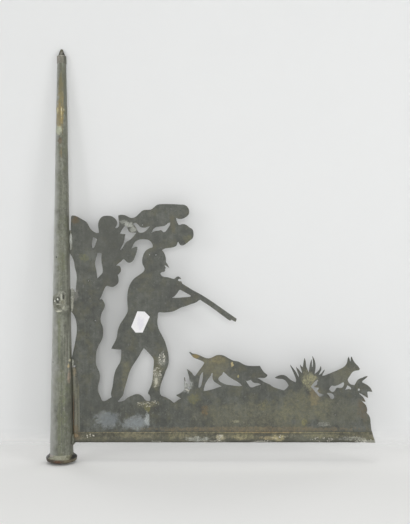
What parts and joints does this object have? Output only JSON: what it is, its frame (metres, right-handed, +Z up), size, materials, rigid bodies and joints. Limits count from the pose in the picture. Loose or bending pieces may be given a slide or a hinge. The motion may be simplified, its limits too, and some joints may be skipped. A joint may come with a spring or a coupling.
{
  "type": "weathervane",
  "caption": "Zinc weathervane: a cut-out hunter, tree, hound and fox on a tapered spire that turns on a fixed spindle.",
  "frame": {"origin": "middle of the spindle pipe's lower end, on the turning axis", "axes": "+Z up along the spindle and the spire, +X along the figure sheet from the spire to the fox, the sheet's shown face towards -Y"},
  "size_m": [0.6577, 0.062, 0.825],
  "materials": {
    "sheet_zinc": "weathered grey-olive zinc sheet",
    "spire_zinc": "weathered zinc, wiped paler, with a tan stain near the top",
    "rim_zinc": "dark zinc bead with rust stains",
    "solder": "dull pale solder",
    "cast_tip": "dark cast zinc",
    "inner_zinc": "dull zinc plate",
    "iron_wire": "rusty iron",
    "spindle_steel": "greased steel",
    "brass": "dull turned brass",
    "label_paper": "plain white paper"
  },
  "bodies": {
    "spindle": {"spindle_pipe": "spindle_steel", "pivot_point": "spindle_steel"},
    "vane": {"silhouette_sheet": "sheet_zinc", "bottom_rail": "sheet_zinc", "edge_channel": "sheet_zinc", "spire_tube": "spire_zinc", "tip_ferrule": "spire_zinc", "base_rim": "rim_zinc", "spire_seam": "solder", "rim_solder": "solder", "rail_end_solder": "solder", "solder_top": "solder", "solder_middle": "solder", "solder_lower": "solder", "solder_patch": "solder", "solder_corner": "solder", "tip_cone": "cast_tip", "pivot_bridge": "inner_zinc", "guide_plate": "inner_zinc", "rim_wire": "iron_wire", "edge_wire": "iron_wire", "rail_wire": "iron_wire", "pivot_cup": "brass", "guide_bush": "brass", "paper_label": "label_paper"}
  },
  "joints": [
    {"name": "vane_spin", "type": "hinge", "parent": "spindle", "child": "vane", "pos_m": [0, 0, 0], "axis": [0, 0, 1], "continuous": true}
  ]
}
